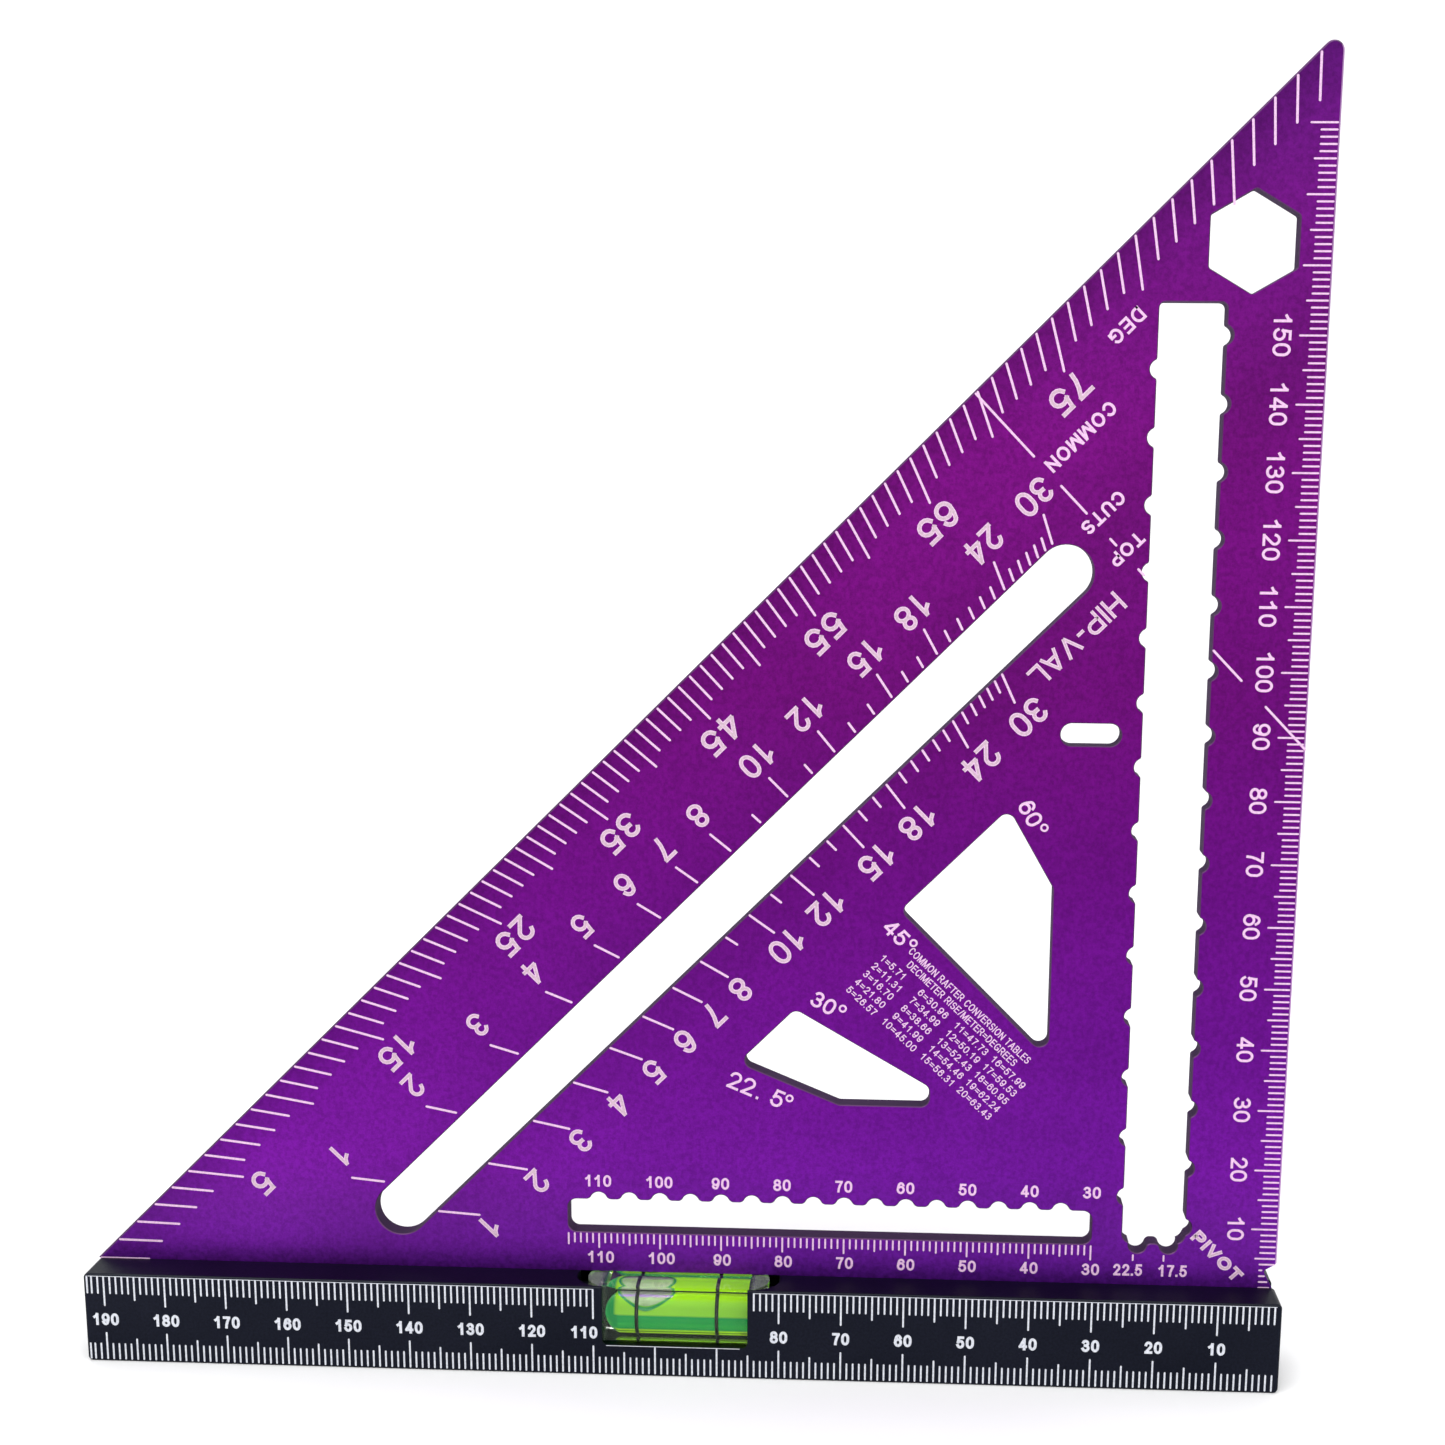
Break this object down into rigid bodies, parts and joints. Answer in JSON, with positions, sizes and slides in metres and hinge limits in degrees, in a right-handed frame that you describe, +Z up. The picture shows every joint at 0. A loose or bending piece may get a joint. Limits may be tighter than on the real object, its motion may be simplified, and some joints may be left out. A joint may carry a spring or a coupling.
{
  "type": "speed square",
  "caption": "Triangular metal marking square on a thick base bar, with degree, rafter and millimetre scales, scribing slots, angle openings and a small spirit level in the bar.",
  "frame": {"origin": "under the middle of the base bar, on the surface that it stands on", "axes": "+X along the bar towards the pivot corner, +Z up along the upright leg, -Y out of the front face with the scales"},
  "size_m": [0.1934, 0.0158, 0.2066],
  "materials": {
    "purple_anodised": "bead-blasted, purple anodised, satin",
    "black_anodised": "fine satin, black anodised",
    "plate_marking": "laser-etched pale pink marks",
    "bar_marking": "laser-etched pale grey marks",
    "clear_acrylic": "clear polished acrylic",
    "level_liquid": "clear yellow-green liquid",
    "air_bubble": "air",
    "sighting_ring": "black",
    "screw_steel": "black oxide"
  },
  "bodies": {
    "square": {"triangle_plate": "purple_anodised", "base_bar": "black_anodised", "vial_body": "clear_acrylic", "vial_end_plug": "clear_acrylic", "vial_liquid": "level_liquid", "vial_ring_left": "sighting_ring", "vial_ring_right": "sighting_ring", "fixing_screw_1": "screw_steel", "fixing_screw_2": "screw_steel", "fixing_screw_3": "screw_steel", "fixing_screw_4": "screw_steel"},
    "bubble": {"vial_bubble": "air_bubble"}
  },
  "joints": [
    {"name": "bubble_slide", "type": "slide", "parent": "square", "child": "bubble", "axis": [1, 0, 0], "range_m": [-0.0001, 0.0116]}
  ]
}
